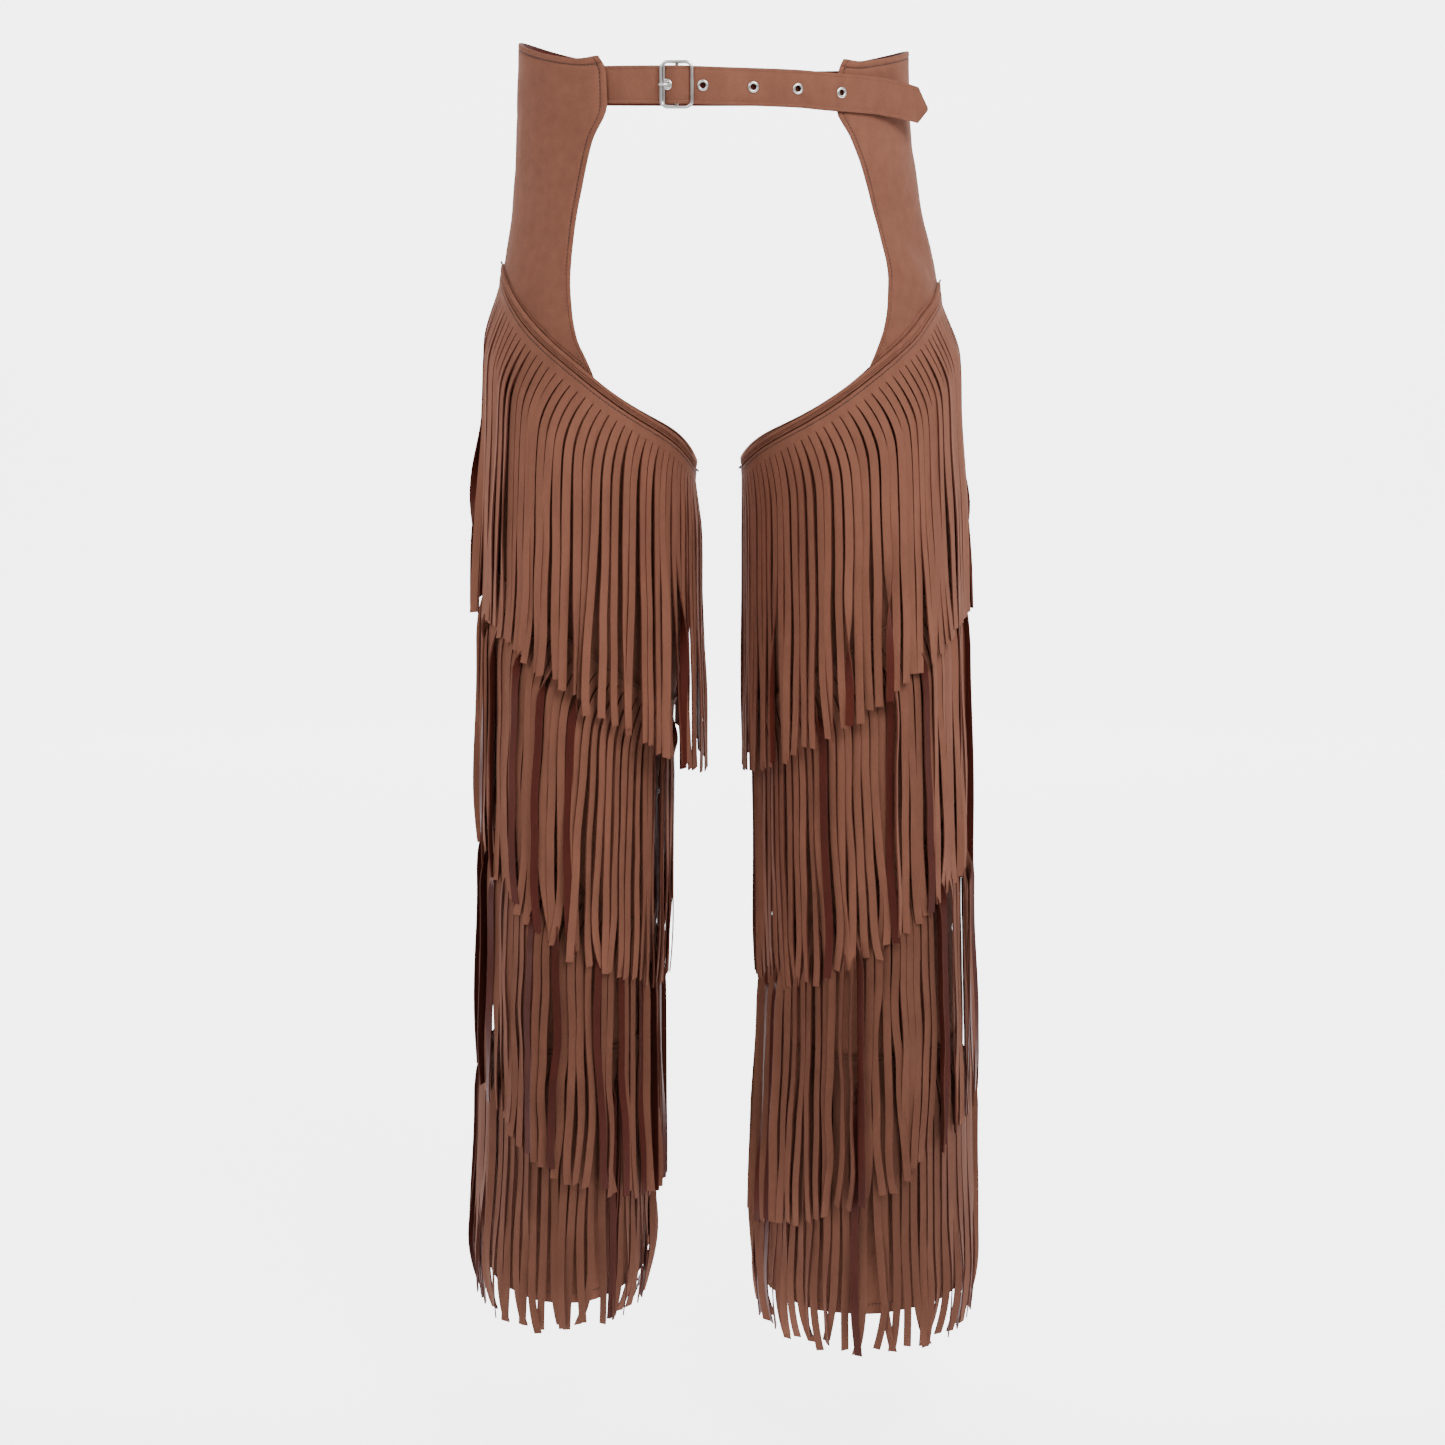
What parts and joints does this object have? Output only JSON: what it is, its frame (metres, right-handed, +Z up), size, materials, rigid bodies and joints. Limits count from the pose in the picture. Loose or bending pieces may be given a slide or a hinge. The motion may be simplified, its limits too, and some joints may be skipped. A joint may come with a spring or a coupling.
{
  "type": "fringed chaps with a buckled belt",
  "caption": "Worn-shape pair of suede chaps: two open leg tubes with tiers of slit fringe on shaped hip yokes, held by a belt with a pin buckle.",
  "frame": {"origin": "on the midline of the figure, at the belt's mid height, in the middle of the waist hollow", "axes": "+Z up, -Y towards the front with the buckle, +X towards the picture's right"},
  "size_m": [0.4457, 0.235, 1.0858],
  "materials": {
    "yoke_suede": "matte brushed suede, mid brown",
    "leg_suede": "matte brushed suede, darker brown",
    "fringe_suede": "matte brushed suede, brown, with a dark red-brown reverse",
    "belt_suede": "matte brushed suede, mid brown",
    "steel": "polished silver-coloured metal"
  },
  "bodies": {
    "root": {"yoke_left": "yoke_suede", "leg_front_left": "leg_suede", "leg_back_left": "leg_suede", "leg_band_left": "yoke_suede", "fringe_1_left": "fringe_suede", "fringe_2_left": "fringe_suede", "fringe_3_left": "fringe_suede", "fringe_4_left": "fringe_suede", "yoke_right": "yoke_suede", "leg_front_right": "leg_suede", "leg_back_right": "leg_suede", "leg_band_right": "yoke_suede", "fringe_1_right": "fringe_suede", "fringe_2_right": "fringe_suede", "fringe_3_right": "fringe_suede", "fringe_4_right": "fringe_suede", "belt_strap": "belt_suede", "buckle_strap": "belt_suede", "back_strap": "belt_suede", "buckle_frame": "steel", "buckle_prong": "steel", "eyelet_1": "steel", "eyelet_2": "steel", "eyelet_3": "steel", "eyelet_4": "steel", "eyelet_5": "steel"}
  },
  "joints": []
}
